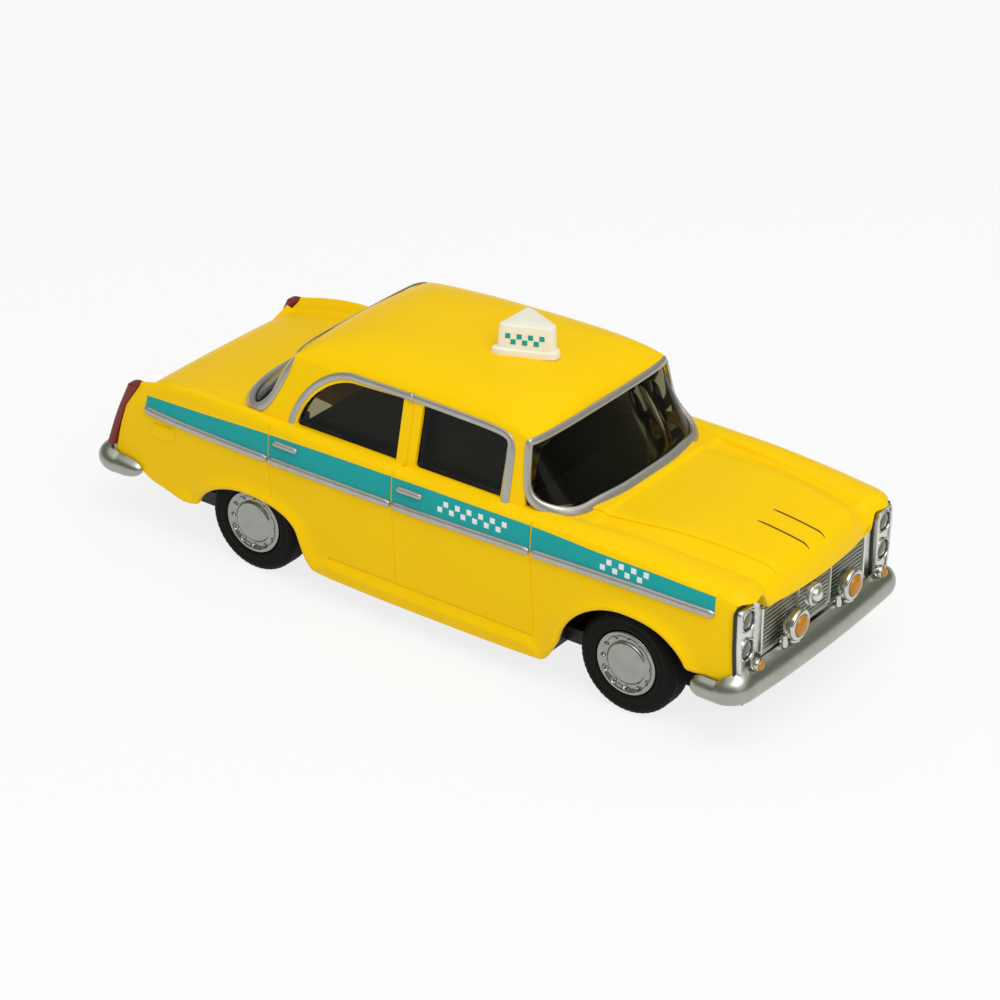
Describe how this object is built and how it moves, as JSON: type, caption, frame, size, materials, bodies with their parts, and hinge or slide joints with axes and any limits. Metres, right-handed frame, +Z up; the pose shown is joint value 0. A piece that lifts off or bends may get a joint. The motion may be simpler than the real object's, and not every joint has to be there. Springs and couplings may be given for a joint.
{
  "type": "toy taxi",
  "caption": "Die-cast toy saloon taxi in yellow with teal flank bands, a glazed cabin, plated trim, a wedge-shaped roof sign and free-rolling wheelsets.",
  "frame": {"origin": "on the ground under the middle of the car's length and width", "axes": "+X towards the front of the car, +Y to its left, +Z up"},
  "size_m": [0.0732, 0.0266, 0.0274],
  "materials": {
    "body_paint": "gloss enamel, warm yellow",
    "glazing": "clear moulded plastic",
    "interior": "satin black moulding",
    "chassis": "satin black",
    "steel": "plain drawn rod and screws",
    "tyre": "matt black rubber",
    "plated": "bright plating",
    "lens_clear": "clear lens",
    "lens_amber": "amber lens",
    "lens_red": "dark red lens",
    "sign": "ivory moulding"
  },
  "bodies": {
    "car": {"body_shell": "body_paint", "glazing": "glazing", "interior": "interior", "chassis": "chassis", "base_screws": "steel", "front_grille": "plated", "headlamp_lenses": "lens_clear", "front_bumper": "plated", "rear_bumper": "plated", "fog_lamp_left": "plated", "fog_lamp_right": "plated", "fog_lens_left": "lens_amber", "fog_lens_right": "lens_amber", "tail_lamp_left": "lens_red", "tail_lamp_right": "lens_red", "roof_sign": "sign"},
    "front_wheels": {"front_axle": "steel", "tyre_front_left": "tyre", "tyre_front_right": "tyre", "hub_front_left": "plated", "hub_front_right": "plated"},
    "rear_wheels": {"rear_axle": "steel", "tyre_rear_left": "tyre", "tyre_rear_right": "tyre", "hub_rear_left": "plated", "hub_rear_right": "plated"}
  },
  "joints": [
    {"name": "front_roll", "type": "hinge", "parent": "car", "child": "front_wheels", "pos_m": [0.0233, 0, 0.0049], "axis": [0, 1, 0], "continuous": true},
    {"name": "rear_roll", "type": "hinge", "parent": "car", "child": "rear_wheels", "pos_m": [-0.0177, 0, 0.0049], "axis": [0, 1, 0], "continuous": true}
  ]
}
